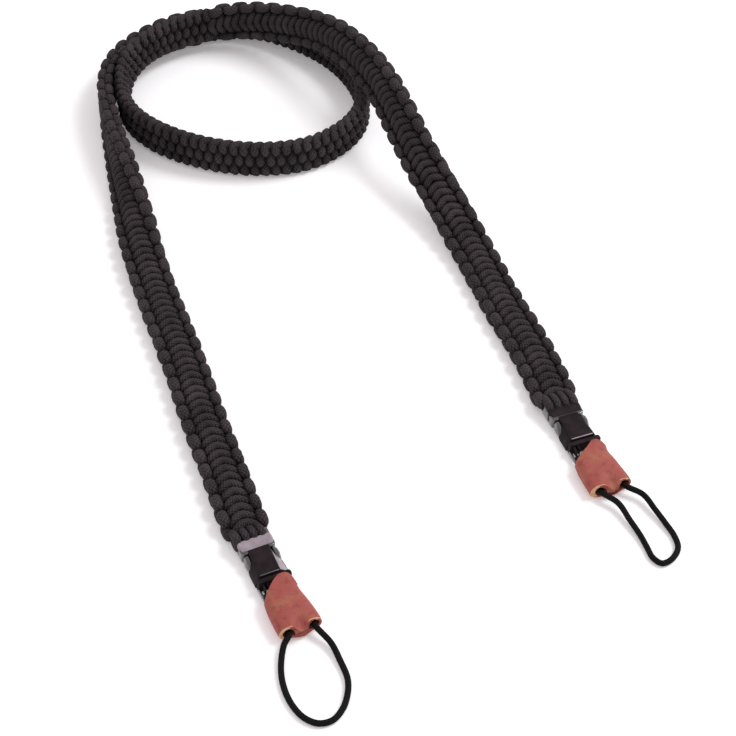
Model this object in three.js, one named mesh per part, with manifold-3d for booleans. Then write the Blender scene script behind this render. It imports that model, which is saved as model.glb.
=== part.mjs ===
// A camera strap knotted from black cord, lying in a loose coil on a table.
// Millimetres, z up. The strap runs from the left buckle clockwise round the coil to the right buckle.
import * as THREE from 'three';
import { mergeVertices } from 'three/addons/utils/BufferGeometryUtils.js';
import Module from 'manifold-3d';

const bandWidth = 20;
const bandThickness = 7.6;
const bandCorners = 3.2; // how square the band's section is: 2 would be an ellipse
const sectionSides = 14;
const stepLength = 5.5;
const jointGap = 0.35;
const leftStrandEnd = 387; // distance along the band where the knots change to plain weave
const neckEnd = 771;

const buckleWidth = 15;
const socketLength = 19.5;
const socketThickness = 6.2;
const barStart = -5.5; // the bar sits just behind each buckle's face, where the cords go round it
const barDepth = 2.4;
const slotDepth = 2.2;
const mouthAt = 20;
const collarLength = 8.6;
const collarThickness = 5.4;
const prongReach = 12;
const prongWidth = 2.0;
const buckleLift = 4; // height of the middle of each buckle above the table

const leatherWidth = 18.4;
const leatherStart = 29.2;
const leatherEnd = 48;
const tunnelRadius = 2.15;
const tunnelOffset = 5.4;
const tunnelDepth = 10;

const cordDiameter = 2.5;

// The middle line of the band. roll turns the face: -90 and 90 lie flat, 0 stands on edge.
const bandRows = [
  { x: -34.6, y: -155.2, z: 3.9, roll: -90 },
  { x: -38.3, y: -145.3, z: 3.9, roll: -90 },
  { x: -46.5, y: -120.3, z: 3.9, roll: -90 },
  { x: -55.9, y: -93.0, z: 3.9, roll: -90 },
  { x: -65.0, y: -63.8, z: 3.9, roll: -90 },
  { x: -73.8, y: -37.4, z: 3.9, roll: -90 },
  { x: -83.1, y: -10.7, z: 4.1, roll: -88 },
  { x: -92.4, y: 19.0, z: 6.3, roll: -76 },
  { x: -100.3, y: 49.4, z: 9.0, roll: -48 },
  { x: -108.2, y: 79.4, z: 10.0, roll: -25 },
  { x: -115.9, y: 109.8, z: 10.0, roll: -8 },
  { x: -120.7, y: 134.8, z: 9.9, roll: 0 },
  { x: -120.9, y: 152.5, z: 9.9, roll: 0 },
  { x: -116.5, y: 167.4, z: 9.9, roll: 0 },
  { x: -106.9, y: 181.3, z: 9.9, roll: 0 },
  { x: -91.4, y: 195.0, z: 9.9, roll: 0 },
  { x: -72.4, y: 202.6, z: 9.9, roll: 0 },
  { x: -49.8, y: 204.7, z: 9.9, roll: 0 },
  { x: -25.0, y: 193.5, z: 9.9, roll: 0 },
  { x: -7.0, y: 177.6, z: 9.9, roll: 0 },
  { x: 5.4, y: 157.9, z: 9.9, roll: 0 },
  { x: 11.5, y: 134.8, z: 9.9, roll: 0 },
  { x: 8.7, y: 115.0, z: 9.9, roll: 0 },
  { x: -0.8, y: 100.4, z: 9.9, roll: 0 },
  { x: -17.6, y: 88.5, z: 9.9, roll: 0 },
  { x: -37.4, y: 84.8, z: 9.9, roll: 0 },
  { x: -57.4, y: 86.8, z: 9.9, roll: 0 },
  { x: -77.8, y: 94.2, z: 9.9, roll: 0 },
  { x: -94.7, y: 105.4, z: 9.9, roll: 0 },
  { x: -107.6, y: 121.7, z: 10.0, roll: 2 },
  { x: -112.4, y: 138.9, z: 10.7, roll: 3 },
  { x: -111.9, y: 154.8, z: 13.3, roll: 2 },
  { x: -104.8, y: 169.1, z: 16.0, roll: 0 },
  { x: -90.2, y: 184.8, z: 15.8, roll: 0 },
  { x: -72.1, y: 194.2, z: 15.8, roll: 2 },
  { x: -48.9, y: 194.6, z: 18.4, roll: 10 },
  { x: -27.1, y: 184.2, z: 22.8, roll: 20 },
  { x: -8.1, y: 167.6, z: 28.3, roll: 27 },
  { x: 6.1, y: 147.7, z: 31.3, roll: 30 },
  { x: 19.3, y: 123.1, z: 31.3, roll: 31 },
  { x: 27.0, y: 104.0, z: 28.8, roll: 36 },
  { x: 37.6, y: 77.3, z: 21.8, roll: 48 },
  { x: 49.8, y: 52.5, z: 13.3, roll: 64 },
  { x: 60.8, y: 28.2, z: 6.6, roll: 82 },
  { x: 67.7, y: 9.9, z: 4.2, roll: 90 },
  { x: 77.5, y: -19.9, z: 3.9, roll: 90 },
  { x: 87.9, y: -48.5, z: 3.9, roll: 90 },
  { x: 96.5, y: -79.6, z: 3.9, roll: 90 },
];

// Where each end's buckle starts, which way it points, and the loop's middle line beyond it.
const ends = [
  {
    side: 'left',
    x: -31.9,
    y: -160.9,
    heading: -65,
    loop: [
      { x: -16.4, y: -205.8, z: 4.0 },
      { x: -18.2, y: -211.6, z: 2.8 },
      { x: -19.0, y: -221.7, z: 1.5 },
      { x: -17.5, y: -230.8, z: 1.3 },
      { x: -13.9, y: -239.1, z: 1.3 },
      { x: -9.3, y: -244.5, z: 1.3 },
      { x: -4.0, y: -246.8, z: 1.3 },
      { x: 1.0, y: -245.4, z: 1.3 },
      { x: 4.9, y: -240.0, z: 1.3 },
      { x: 6.7, y: -232.2, z: 1.3 },
      { x: 6.5, y: -226.1, z: 1.3 },
      { x: 3.5, y: -217.6, z: 1.5 },
      { x: 0.0, y: -210.2, z: 2.6 },
      { x: -4.8, y: -203.9, z: 4.0 },
    ],
  },
  {
    side: 'right',
    x: 98.8,
    y: -85.6,
    heading: -69,
    loop: [
      { x: 114.0, y: -131.2, z: 4.0 },
      { x: 117.8, y: -138.6, z: 3.5 },
      { x: 121.9, y: -147.0, z: 2.4 },
      { x: 125.6, y: -154.9, z: 1.6 },
      { x: 127.6, y: -160.8, z: 1.3 },
      { x: 129.4, y: -166.3, z: 1.3 },
      { x: 132.7, y: -169.2, z: 1.3 },
      { x: 136.8, y: -167.1, z: 1.3 },
      { x: 140.1, y: -161.3, z: 1.3 },
      { x: 139.5, y: -154.9, z: 1.3 },
      { x: 136.4, y: -148.0, z: 1.8 },
      { x: 132.9, y: -141.4, z: 2.6 },
      { x: 128.6, y: -133.8, z: 3.5 },
      { x: 124.3, y: -126.8, z: 4.0 },
    ],
  },
];

const looks = {
  cord: new THREE.MeshStandardMaterial({ color: 0x2d2a2a, roughness: 0.9, metalness: 0 }),
  plastic: new THREE.MeshStandardMaterial({ color: 0x141414, roughness: 0.35, metalness: 0 }),
  leather: new THREE.MeshStandardMaterial({ color: 0xb45f55, roughness: 0.6, metalness: 0 }),
};

const wasm = await Module();
wasm.setup();
const group = new THREE.Group();

function radians(degrees) {
  return (degrees * Math.PI) / 180;
}

function addPiece(name, geometry, look) {
  const mesh = new THREE.Mesh(geometry, looks[look]);
  mesh.name = name;
  group.add(mesh);
}

// A natural cubic through the values at the given knots.
function cubicThrough(knots, values) {
  const n = knots.length;
  const bend = new Array(n).fill(0);
  const upper = new Array(n).fill(0);
  const right = new Array(n).fill(0);
  for (let i = 1; i < n - 1; i += 1) {
    const before = knots[i] - knots[i - 1];
    const after = knots[i + 1] - knots[i];
    const slopes = (values[i + 1] - values[i]) / after - (values[i] - values[i - 1]) / before;
    const pivot = 2 * (before + after) - before * upper[i - 1];
    upper[i] = after / pivot;
    right[i] = (6 * slopes - before * right[i - 1]) / pivot;
  }
  for (let i = n - 2; i > 0; i -= 1) {
    bend[i] = right[i] - upper[i] * bend[i + 1];
  }
  return (at) => {
    let i = 0;
    while (i < n - 2 && at > knots[i + 1]) {
      i += 1;
    }
    const width = knots[i + 1] - knots[i];
    const b = (at - knots[i]) / width;
    const a = 1 - b;
    const curved = (a ** 3 - a) * bend[i] + (b ** 3 - b) * bend[i + 1];
    return a * values[i] + b * values[i + 1] + (curved * width * width) / 6;
  };
}

// The band's middle line as closely spaced frames with their distance along it.
function layBand() {
  const knots = [0];
  for (let i = 1; i < bandRows.length; i += 1) {
    const a = bandRows[i - 1];
    const b = bandRows[i];
    knots.push(knots[i - 1] + Math.hypot(b.x - a.x, b.y - a.y, b.z - a.z));
  }
  const along = {};
  for (const column of ['x', 'y', 'z', 'roll']) {
    along[column] = cubicThrough(knots, bandRows.map((row) => row[column]));
  }
  const last = knots[knots.length - 1];
  const count = Math.ceil(last);
  const frames = [];
  let distance = 0;
  let previous = null;
  for (let i = 0; i <= count; i += 1) {
    const at = (last * i) / count;
    const place = new THREE.Vector3(along.x(at), along.y(at), along.z(at));
    const ahead = new THREE.Vector3(along.x(at + 0.2), along.y(at + 0.2), along.z(at + 0.2));
    const behind = new THREE.Vector3(along.x(at - 0.2), along.y(at - 0.2), along.z(at - 0.2));
    const tangent = ahead.sub(behind).normalize();
    const inward = new THREE.Vector3(tangent.y, -tangent.x, 0).normalize();
    const upward = inward.clone().cross(tangent).normalize();
    const roll = radians(along.roll(at));
    const face = inward.clone().multiplyScalar(Math.cos(roll));
    face.addScaledVector(upward, Math.sin(roll));
    const across = upward.clone().multiplyScalar(Math.cos(roll));
    across.addScaledVector(inward, -Math.sin(roll));
    if (previous) {
      distance += place.distanceTo(previous);
    }
    previous = place;
    frames.push({ place, face, across, distance });
  }
  return frames;
}

// One ribbon of the band between two distances, a rounded bar section carried along the frames.
function ribbon(frames, from, to) {
  const picked = [];
  const count = Math.round((to - from) / stepLength);
  for (let i = 0; i <= count; i += 1) {
    const wanted = from + ((to - from) * i) / count;
    const after = Math.min(frames.length - 1, Math.max(1, frames.findIndex((f) => f.distance >= wanted)));
    const a = frames[after - 1];
    const b = frames[after];
    const t = (wanted - a.distance) / (b.distance - a.distance);
    picked.push({
      place: a.place.clone().lerp(b.place, t),
      face: a.face.clone().lerp(b.face, t).normalize(),
      across: a.across.clone().lerp(b.across, t).normalize(),
    });
  }
  const points = [];
  const triangles = [];
  for (const frame of picked) {
    for (let k = 0; k < sectionSides; k += 1) {
      const turn = (2 * Math.PI * (k + 0.5)) / sectionSides;
      const c = Math.cos(turn);
      const s = Math.sin(turn);
      const wide = Math.sign(c) * Math.abs(c) ** (2 / bandCorners) * (bandWidth / 2);
      const thick = Math.sign(s) * Math.abs(s) ** (2 / bandCorners) * (bandThickness / 2);
      const p = frame.place.clone().addScaledVector(frame.across, wide).addScaledVector(frame.face, thick);
      points.push(p.x, p.y, p.z);
    }
  }
  const ring = (i, k) => i * sectionSides + (k % sectionSides);
  for (let i = 0; i < picked.length - 1; i += 1) {
    for (let k = 0; k < sectionSides; k += 1) {
      triangles.push(ring(i, k), ring(i, k + 1), ring(i + 1, k + 1));
      triangles.push(ring(i, k), ring(i + 1, k + 1), ring(i + 1, k));
    }
  }
  const endRow = picked.length - 1;
  for (let k = 1; k < sectionSides - 1; k += 1) {
    triangles.push(ring(0, 0), ring(0, k + 1), ring(0, k));
    triangles.push(ring(endRow, 0), ring(endRow, k), ring(endRow, k + 1));
  }
  return outward(points, triangles);
}

// A body from points and triangles, turned inside out if its faces point inwards.
function outward(points, triangles) {
  let volume = 0;
  for (let i = 0; i < triangles.length; i += 3) {
    const corner = [0, 1, 2].map((j) => new THREE.Vector3().fromArray(points, triangles[i + j] * 3));
    volume += corner[0].dot(corner[1].cross(corner[2]));
  }
  const order = volume < 0 ? triangles.slice().reverse() : triangles;
  const geometry = new THREE.BufferGeometry();
  geometry.setAttribute('position', new THREE.Float32BufferAttribute(points, 3));
  geometry.setIndex(order);
  geometry.computeVertexNormals();
  return geometry;
}

function toSolid(geometry) {
  const plain = geometry.clone();
  plain.deleteAttribute('normal');
  plain.deleteAttribute('uv');
  const merged = mergeVertices(plain, 1e-4);
  return new wasm.Manifold(new wasm.Mesh({
    numProp: 3,
    vertProperties: Float32Array.from(merged.attributes.position.array),
    triVerts: Uint32Array.from(merged.index.array),
  }));
}

function toGeometry(solid) {
  const mesh = solid.getMesh();
  const geometry = new THREE.BufferGeometry();
  geometry.setAttribute('position', new THREE.BufferAttribute(new Float32Array(mesh.vertProperties), 3));
  geometry.setIndex(new THREE.BufferAttribute(new Uint32Array(mesh.triVerts), 1));
  geometry.computeVertexNormals();
  return geometry;
}

// A plate with softened edges: outline in plan (s along the strap, v across), between two heights.
function plate(outline, low, high, bevel) {
  const shape = new THREE.Shape(outline.map(([s, v]) => new THREE.Vector2(s, v)));
  const geometry = new THREE.ExtrudeGeometry(shape, {
    depth: high - low - 2 * bevel,
    bevelEnabled: bevel > 0,
    bevelSize: bevel,
    bevelOffset: -bevel,
    bevelThickness: bevel,
    bevelSegments: 1,
    steps: 1,
  });
  geometry.translate(0, 0, low + bevel);
  return toSolid(geometry);
}

function mirrored(half) {
  const other = half.map(([s, v]) => [s, -v]).reverse();
  return half.concat(other);
}

// Receiving half: a bar for the band's cords, a slot, then a body with hollowed flanks for the prongs.
function socketSolid() {
  const half = buckleWidth / 2;
  const outline = mirrored([
    [barStart, -half + 1.5],
    [barStart + 1.2, -half],
    [5.2, -half],
    [6.4, -half + 0.6],
    [7.2, -half + 2.8],
    [12.0, -half + 2.4],
    [16.0, -half + 1.9],
    [socketLength, -half + 1.3],
  ]);
  const body = plate(outline, buckleLift - socketThickness / 2, buckleLift + socketThickness / 2, 0.5);
  const slot = plate([
    [barStart + barDepth, -half + 2.2],
    [barStart + barDepth + slotDepth, -half + 2.2],
    [barStart + barDepth + slotDepth, half - 2.2],
    [barStart + barDepth, half - 2.2],
  ], -5, 15, 0);
  return body.subtract(slot);
}

// Pronged half: a collar closing the socket's mouth, two prongs along its flanks, a tail in the leather.
function plugSolid() {
  const half = buckleWidth / 2;
  const low = buckleLift - collarThickness / 2;
  const high = buckleLift + collarThickness / 2;
  const collar = plate(mirrored([
    [mouthAt, -half + 0.6],
    [mouthAt + 0.8, -half],
    [mouthAt + collarLength - 1, -half],
    [mouthAt + collarLength, -half + 1],
  ]), low, high, 0.4);
  let plug = collar;
  for (const flank of [-1, 1]) {
    const at = (v) => flank * v;
    const corners = [
      [mouthAt + 1.5, at(half)],
      [mouthAt + 1.5, at(half - 0.9)],
      [mouthAt - 0.3, at(half - 0.9)],
      [mouthAt - prongReach + 1.5, at(half - prongWidth)],
      [mouthAt - prongReach + 0.9, at(half - prongWidth + 0.4)],
      [mouthAt - prongReach + 3.5, at(half)],
    ];
    const prong = plate(flank < 0 ? corners : corners.reverse(), low + 0.6, high - 0.6, 0);
    plug = plug.add(prong);
  }
  return plug;
}

// Folded leather tab: a pinched sleeve with two tunnels, and a rounded tongue over the collar.
function leatherSolid() {
  const half = leatherWidth / 2;
  const rows = [
    { s: leatherStart, wide: 7.2, top: 8.7, bottom: 0.7, pinch: 0.0 },
    { s: 33, wide: 8.3, top: 8.5, bottom: 0.5, pinch: 0.2 },
    { s: 38, wide: 9.0, top: 8.2, bottom: 0.4, pinch: 0.6 },
    { s: 43, wide: half, top: 8.0, bottom: 0.4, pinch: 1.0 },
    { s: leatherEnd, wide: half, top: 7.9, bottom: 0.3, pinch: 1.3 },
  ];
  const sides = 24;
  const points = [];
  const triangles = [];
  for (const row of rows) {
    for (let k = 0; k < sides; k += 1) {
      const turn = (2 * Math.PI * k) / sides;
      const c = Math.cos(turn);
      const n = Math.sin(turn);
      const v = Math.sign(c) * Math.abs(c) ** 0.8 * row.wide;
      const waist = row.pinch * Math.exp(-((v / 2.4) ** 2));
      const middle = (row.top + row.bottom) / 2;
      const high = (row.top - row.bottom) / 2;
      const z = Math.sign(n) * (Math.abs(n) ** 0.6 * high - waist * Math.abs(n));
      points.push(row.s, v, middle + z);
    }
  }
  const ring = (i, k) => i * sides + (k % sides);
  for (let i = 0; i < rows.length - 1; i += 1) {
    for (let k = 0; k < sides; k += 1) {
      triangles.push(ring(i, k), ring(i, k + 1), ring(i + 1, k + 1));
      triangles.push(ring(i, k), ring(i + 1, k + 1), ring(i + 1, k));
    }
  }
  for (let k = 1; k < sides - 1; k += 1) {
    triangles.push(ring(0, 0), ring(0, k + 1), ring(0, k));
    triangles.push(ring(rows.length - 1, 0), ring(rows.length - 1, k), ring(rows.length - 1, k + 1));
  }
  let leather = toSolid(outward(points, triangles));
  const tongueLow = buckleLift + collarThickness / 2 + 0.35;
  const tongue = plate(mirrored([
    [22.0, -1.3],
    [23.0, -2.9],
    [25.2, -4.6],
    [28.0, -6.2],
    [31.0, -7.3],
    [34.0, -7.8],
  ]), tongueLow, tongueLow + 1.7, 0.3);
  const under = plate(mirrored([
    [leatherStart + 0.6, -6.0],
    [leatherStart + 4.6, -6.5],
  ]), buckleLift + 1.5, tongueLow + 1.0, 0);
  leather = leather.add(tongue).add(under);
  for (const side of [-1, 1]) {
    const tunnel = new THREE.CylinderGeometry(tunnelRadius, tunnelRadius, tunnelDepth + 2, 16);
    tunnel.rotateZ(Math.PI / 2);
    tunnel.translate(leatherEnd - tunnelDepth + (tunnelDepth + 2) / 2, side * tunnelOffset, buckleLift);
    leather = leather.subtract(toSolid(tunnel));
  }
  return leather;
}

// A thin cord along a row of places, its ends held inside the leather's tunnels.
function cordLoop(end) {
  const heading = radians(end.heading);
  const back = new THREE.Vector3(-Math.cos(heading), -Math.sin(heading), 0);
  const aside = new THREE.Vector3(-Math.sin(heading), Math.cos(heading), 0);
  const inside = [-1, 1].map((side) => new THREE.Vector3(end.x, end.y, buckleLift)
    .addScaledVector(back, -(leatherEnd - 6))
    .addScaledVector(aside, side * tunnelOffset));
  const mouths = inside.map((place) => place.clone().addScaledVector(back, -6.4));
  const middle = end.loop.slice(1, -1).map((p) => new THREE.Vector3(p.x, p.y, p.z));
  const route = [inside[0], mouths[0], ...middle, mouths[1], inside[1]];
  const curve = new THREE.CatmullRomCurve3(route, false, 'centripetal');
  const circle = [];
  for (let k = 0; k < 8; k += 1) {
    const turn = (2 * Math.PI * k) / 8;
    circle.push(new THREE.Vector2(Math.cos(turn) * cordDiameter / 2, Math.sin(turn) * cordDiameter / 2));
  }
  return new THREE.ExtrudeGeometry(new THREE.Shape(circle), {
    extrudePath: curve,
    steps: 40,
    bevelEnabled: false,
  });
}

const frames = layBand();
const bandEnd = frames[frames.length - 1].distance;
addPiece('left_strand', ribbon(frames, 0, leftStrandEnd), 'cord');
addPiece('neck_band', ribbon(frames, leftStrandEnd + jointGap, neckEnd), 'cord');
addPiece('right_strand', ribbon(frames, neckEnd + jointGap, bandEnd), 'cord');

for (const end of ends) {
  const place = (geometry) => {
    geometry.rotateZ(radians(end.heading));
    geometry.translate(end.x, end.y, 0);
    return geometry;
  };
  addPiece(`${end.side}_socket`, place(toGeometry(socketSolid())), 'plastic');
  addPiece(`${end.side}_plug`, place(toGeometry(plugSolid())), 'plastic');
  addPiece(`${end.side}_leather`, place(toGeometry(leatherSolid())), 'leather');
  addPiece(`${end.side}_loop`, cordLoop(end), 'cord');
}

export default group;
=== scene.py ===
import math

import bmesh
import bpy
import numpy as np
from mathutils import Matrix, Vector


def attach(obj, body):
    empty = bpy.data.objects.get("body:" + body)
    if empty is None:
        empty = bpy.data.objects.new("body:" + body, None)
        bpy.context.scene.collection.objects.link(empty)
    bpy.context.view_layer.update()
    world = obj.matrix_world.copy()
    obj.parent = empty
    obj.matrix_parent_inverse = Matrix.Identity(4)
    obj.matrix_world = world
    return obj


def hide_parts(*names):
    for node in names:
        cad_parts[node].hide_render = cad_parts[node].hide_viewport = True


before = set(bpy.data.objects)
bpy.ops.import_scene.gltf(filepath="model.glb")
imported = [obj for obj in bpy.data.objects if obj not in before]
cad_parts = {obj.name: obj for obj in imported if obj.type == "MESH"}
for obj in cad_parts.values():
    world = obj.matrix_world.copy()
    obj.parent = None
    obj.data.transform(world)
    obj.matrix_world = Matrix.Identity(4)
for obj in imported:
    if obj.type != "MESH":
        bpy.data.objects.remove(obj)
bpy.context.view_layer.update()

# A camera strap knotted from black cord, lying in a loose coil on a pale table.
# Lengths are in millimetres until they are placed, and MM turns them into metres.
MM = 0.001

# Along the band, from the left buckle.
LEFT_STRAND_END = 387.0
NECK_END = 771.0

KNOT_SPACING = 4.575     # one half knot to the next, along the strand
WEAVE_SPACING = 2.56     # one pass of the neck's weave to the next
LOOP_DIAMETER = 2.5

# A buckle and its leather, in their own frame: s along the buckle, v across it, z up from the table.
BUCKLE_HALF = 7.5
BAR_START = -5.5
TOP_START = 4.6
TOP_END = 19.1
MOUTH = 20.0
LEATHER_END = 48.0
LEATHER_FACE_POINTS = 27
LEATHER_SIDE_POINTS = 9
TUNNEL_LIFT = 4.0
TUNNEL_OFFSET = 5.4
TUNNEL_RADIUS = 2.45

CAMERA_PLACE = (0.0143, -0.6581, 0.5828)   # metres
CAMERA_TILT = 46.0                         # degrees up from looking straight down
CAMERA_LENS = 91.76
TABLE_HALF = 8.0                           # metres

# The middle line of the band, from the left buckle clockwise round the coil to the right buckle.
BAND_ROWS = [
    dict(x=-34.6, y=-155.2, z=3.9, roll=-90),
    dict(x=-38.3, y=-145.3, z=3.9, roll=-90),
    dict(x=-46.5, y=-120.3, z=3.9, roll=-90),
    dict(x=-55.9, y=-93.0, z=3.9, roll=-90),
    dict(x=-65.0, y=-63.8, z=3.9, roll=-90),
    dict(x=-73.8, y=-37.4, z=3.9, roll=-90),
    dict(x=-83.1, y=-10.7, z=4.1, roll=-88),
    dict(x=-92.4, y=19.0, z=6.3, roll=-76),
    dict(x=-100.3, y=49.4, z=9.0, roll=-48),
    dict(x=-108.2, y=79.4, z=10.0, roll=-25),
    dict(x=-115.9, y=109.8, z=10.0, roll=-8),
    dict(x=-120.7, y=134.8, z=9.9, roll=0),
    dict(x=-120.9, y=152.5, z=9.9, roll=0),
    dict(x=-116.5, y=167.4, z=9.9, roll=0),
    dict(x=-106.9, y=181.3, z=9.9, roll=0),
    dict(x=-91.4, y=195.0, z=9.9, roll=0),
    dict(x=-72.4, y=202.6, z=9.9, roll=0),
    dict(x=-49.8, y=204.7, z=9.9, roll=0),
    dict(x=-25.0, y=193.5, z=9.9, roll=0),
    dict(x=-7.0, y=177.6, z=9.9, roll=0),
    dict(x=5.4, y=157.9, z=9.9, roll=0),
    dict(x=11.5, y=134.8, z=9.9, roll=0),
    dict(x=8.7, y=115.0, z=9.9, roll=0),
    dict(x=-0.8, y=100.4, z=9.9, roll=0),
    dict(x=-17.6, y=88.5, z=9.9, roll=0),
    dict(x=-37.4, y=84.8, z=9.9, roll=0),
    dict(x=-57.4, y=86.8, z=9.9, roll=0),
    dict(x=-77.8, y=94.2, z=9.9, roll=0),
    dict(x=-94.7, y=105.4, z=9.9, roll=0),
    dict(x=-107.6, y=121.7, z=10.0, roll=2),
    dict(x=-112.4, y=138.9, z=10.7, roll=3),
    dict(x=-111.9, y=154.8, z=13.3, roll=2),
    dict(x=-104.8, y=169.1, z=16.0, roll=0),
    dict(x=-90.2, y=184.8, z=15.8, roll=0),
    dict(x=-72.1, y=194.2, z=15.8, roll=2),
    dict(x=-48.9, y=194.6, z=18.4, roll=10),
    dict(x=-27.1, y=184.2, z=22.8, roll=20),
    dict(x=-8.1, y=167.6, z=28.3, roll=27),
    dict(x=6.1, y=147.7, z=31.3, roll=30),
    dict(x=19.3, y=123.1, z=31.3, roll=31),
    dict(x=27.0, y=104.0, z=28.8, roll=36),
    dict(x=37.6, y=77.3, z=21.8, roll=48),
    dict(x=49.8, y=52.5, z=13.3, roll=64),
    dict(x=60.8, y=28.2, z=6.6, roll=82),
    dict(x=67.7, y=9.9, z=4.2, roll=90),
    dict(x=77.5, y=-19.9, z=3.9, roll=90),
    dict(x=87.9, y=-48.5, z=3.9, roll=90),
    dict(x=96.5, y=-79.6, z=3.9, roll=90),
]

# Where each buckle starts, the way it points, and the thin loop's middle line beyond it.
# tongue_tip is where the leather begins along the buckle, slant draws the tongue's -v side in, and spread
# widens the sleeve on that side. skew draws the +v side of the socket's top in towards the mouth.
# The hitch cords come up at start, turn down at reach and stand rise high, at the places across.
ENDS = {
    "left": dict(
        x=-31.9, y=-160.9, heading=-65.0, tongue_tip=22.2, slant=0.8, spread=0.3, skew=2.2,
        hitch=dict(start=-5.8, reach=-0.5, rise=6.9, across=(-6.4, -2.6, 0.9, 4.3)),
        loop=[
            dict(x=-16.4, y=-205.8, z=4.0),
            dict(x=-18.2, y=-211.6, z=2.8),
            dict(x=-19.0, y=-221.7, z=1.5),
            dict(x=-17.5, y=-230.8, z=1.3),
            dict(x=-13.9, y=-239.1, z=1.3),
            dict(x=-9.3, y=-244.5, z=1.3),
            dict(x=-4.0, y=-246.8, z=1.3),
            dict(x=1.0, y=-245.4, z=1.3),
            dict(x=4.9, y=-240.0, z=1.3),
            dict(x=6.7, y=-232.2, z=1.3),
            dict(x=6.5, y=-226.1, z=1.3),
            dict(x=3.5, y=-217.6, z=1.5),
            dict(x=0.0, y=-210.2, z=2.6),
            dict(x=-4.8, y=-203.9, z=4.0),
        ],
    ),
    "right": dict(
        x=98.8, y=-85.6, heading=-69.0, tongue_tip=23.8, slant=1.6, spread=0.9, skew=0.4,
        hitch=dict(start=-7.4, reach=-0.4, rise=7.3, across=(-5.6, -1.9, 1.8, 5.4)),
        loop=[
            dict(x=114.0, y=-131.2, z=4.0),
            dict(x=117.8, y=-138.6, z=3.5),
            dict(x=121.9, y=-147.0, z=2.4),
            dict(x=125.6, y=-154.9, z=1.6),
            dict(x=127.6, y=-160.8, z=1.3),
            dict(x=129.4, y=-166.3, z=1.3),
            dict(x=132.7, y=-169.2, z=1.3),
            dict(x=136.8, y=-167.1, z=1.3),
            dict(x=140.1, y=-161.3, z=1.3),
            dict(x=139.5, y=-154.9, z=1.3),
            dict(x=136.4, y=-148.0, z=1.8),
            dict(x=132.9, y=-141.4, z=2.6),
            dict(x=128.6, y=-133.8, z=3.5),
            dict(x=124.3, y=-126.8, z=4.0),
        ],
    ),
}


def set_camera():
    data = bpy.data.cameras.new("Camera")
    data.sensor_width = 36.0
    data.lens = CAMERA_LENS
    data.clip_end = 20.0
    camera = bpy.data.objects.new("Camera", data)
    camera.location = CAMERA_PLACE
    camera.rotation_euler = (math.radians(CAMERA_TILT), 0.0, 0.0)
    bpy.context.scene.collection.objects.link(camera)
    bpy.context.scene.camera = camera


def cubic_through(knots, values, at):
    """Natural cubic through the values at the knots, read at every place in at."""
    n = len(knots)
    gap = np.diff(knots)
    table = np.zeros((n, n))
    side = np.zeros(n)
    table[0, 0] = table[-1, -1] = 1.0
    for i in range(1, n - 1):
        table[i, i - 1] = gap[i - 1]
        table[i, i] = 2.0 * (gap[i - 1] + gap[i])
        table[i, i + 1] = gap[i]
        side[i] = 6.0 * ((values[i + 1] - values[i]) / gap[i] - (values[i] - values[i - 1]) / gap[i - 1])
    bend = np.linalg.solve(table, side)
    i = np.clip(np.searchsorted(knots, at, side="right") - 1, 0, n - 2)
    b = (at - knots[i]) / gap[i]
    a = 1.0 - b
    curved = (a ** 3 - a) * bend[i] + (b ** 3 - b) * bend[i + 1]
    return a * values[i] + b * values[i + 1] + curved * gap[i] ** 2 / 6.0


def unit(v):
    return v / np.linalg.norm(v, axis=-1, keepdims=True)


def lay_band():
    """Distance, place, along, face and across for closely spaced frames of the band."""
    place = np.array([[r["x"], r["y"], r["z"]] for r in BAND_ROWS])
    roll = np.array([float(r["roll"]) for r in BAND_ROWS])
    knots = np.concatenate([[0.0], np.cumsum(np.linalg.norm(np.diff(place, axis=0), axis=1))])
    at = np.linspace(0.0, knots[-1], int(knots[-1] / 0.5))
    middle = np.stack([cubic_through(knots, place[:, k], at) for k in range(3)], 1)
    turn = np.radians(cubic_through(knots, roll, at))
    along = unit(np.gradient(middle, axis=0))
    inward = unit(np.stack([along[:, 1], -along[:, 0], np.zeros(len(at))], 1))
    upward = unit(np.cross(inward, along))
    c, s = np.cos(turn)[:, None], np.sin(turn)[:, None]
    distance = np.concatenate([[0.0], np.cumsum(np.linalg.norm(np.diff(middle, axis=0), axis=1))])
    return dict(distance=distance, middle=middle, along=along,
                face=c * inward + s * upward, across=c * upward - s * inward)


BAND = lay_band()
BAND_LENGTH = float(BAND["distance"][-1])


def on_band(points):
    """Places (distance along, across, off the face) carried onto the laid band.

    Beyond either end it runs straight on. A fourth column, the cord's radius, is kept, and then the cord is
    lifted where it would sink into the table.
    """
    points = np.asarray(points, float)
    s = np.clip(points[:, 0], 0.0, BAND_LENGTH)
    over = points[:, 0] - s
    read = {k: np.stack([np.interp(s, BAND["distance"], BAND[k][:, j]) for j in range(3)], 1)
            for k in ("middle", "along", "face", "across")}
    laid = (read["middle"] + over[:, None] * read["along"]
            + points[:, 1:2] * read["across"] + points[:, 2:3] * read["face"])
    if points.shape[1] > 3:
        laid[:, 2] = np.maximum(laid[:, 2], points[:, 3])
    return np.hstack([laid, points[:, 3:]])


def between(u, start, stop, low, high):
    """The value at u on the straight run from low at start to high at stop."""
    return (stop - u) / (stop - start) * low + (u - start) / (stop - start) * high


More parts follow.
